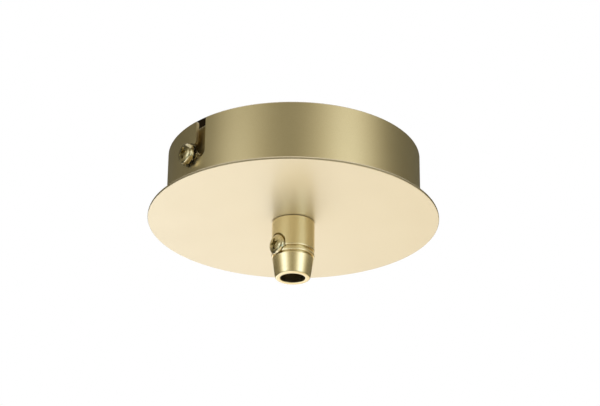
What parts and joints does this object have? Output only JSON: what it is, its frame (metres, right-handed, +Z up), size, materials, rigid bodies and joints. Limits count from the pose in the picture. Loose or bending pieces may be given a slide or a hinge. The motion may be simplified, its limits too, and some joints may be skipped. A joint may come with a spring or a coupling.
{
  "type": "ceiling canopy",
  "caption": "Round metal ceiling canopy for one pendant lamp: cover with twist-lock slots, mounting bracket with side screws, and a turned cord grip at the centre.",
  "frame": {"origin": "centre of the ceiling plane, between the bracket's two ceiling slots", "axes": "+Z up into the ceiling; the bracket and both side screws lie along X; the cord grip points down -Z"},
  "size_m": [0.1, 0.1, 0.0446],
  "materials": {
    "gold_paint": "satin metallic paint",
    "nickel_plate": "bright nickel plate",
    "yellow_zinc": "yellow passivated zinc plate",
    "zinc_plate": "zinc plate",
    "brass": "plain",
    "nylon": "moulded"
  },
  "bodies": {
    "bracket": {"mounting_bracket": "yellow_zinc", "earth_screw": "nickel_plate", "earth_cup_washer": "brass", "earth_lock_washer": "nickel_plate"},
    "cover": {"face_plate": "gold_paint", "side_ring": "gold_paint", "threaded_nipple": "zinc_plate", "nipple_lock_washer": "zinc_plate", "nipple_nut": "zinc_plate", "grip_body": "gold_paint"},
    "left_washer": {"side_lock_washer_left": "nickel_plate"},
    "left_screw": {"side_screw_left": "nickel_plate"},
    "right_washer": {"side_lock_washer_right": "nickel_plate"},
    "right_screw": {"side_screw_right": "nickel_plate"},
    "saddle": {"clamp_saddle": "nylon"},
    "clamp_screw": {"grip_screw": "nickel_plate"}
  },
  "joints": [
    {"name": "cover_twist", "type": "hinge", "parent": "bracket", "child": "cover", "pos_m": [0, 0, 0], "axis": [0, 0, 1], "range_deg": [-6.3, 0]},
    {"name": "left_washer_travel", "type": "slide", "parent": "bracket", "child": "left_washer", "axis": [-1, 0, 0], "range_m": [0, 0.0025]},
    {"name": "left_screw_turn", "type": "hinge", "parent": "left_washer", "child": "left_screw", "pos_m": [-0.045, 0, -0.012], "axis": [-1, 0, 0], "range_deg": [0, 1285.8]},
    {"name": "right_washer_travel", "type": "slide", "parent": "bracket", "child": "right_washer", "axis": [1, 0, 0], "range_m": [0, 0.0025]},
    {"name": "right_screw_turn", "type": "hinge", "parent": "right_washer", "child": "right_screw", "pos_m": [0.045, 0, -0.012], "axis": [1, 0, 0], "range_deg": [0, 1285.8]},
    {"name": "saddle_travel", "type": "slide", "parent": "cover", "child": "saddle", "axis": [-1, 0, 0], "range_m": [0, 0.0015]},
    {"name": "clamp_screw_turn", "type": "hinge", "parent": "saddle", "child": "clamp_screw", "pos_m": [-0.0059, 0, -0.0339], "axis": [-1, 0, 0], "range_deg": [0, 771.5]}
  ],
  "couplings": [
    {"joint": "left_screw_turn", "follows": "left_washer_travel", "rad_per_m": 8976},
    {"joint": "right_screw_turn", "follows": "right_washer_travel", "rad_per_m": 8976},
    {"joint": "clamp_screw_turn", "follows": "saddle_travel", "rad_per_m": 8976}
  ]
}
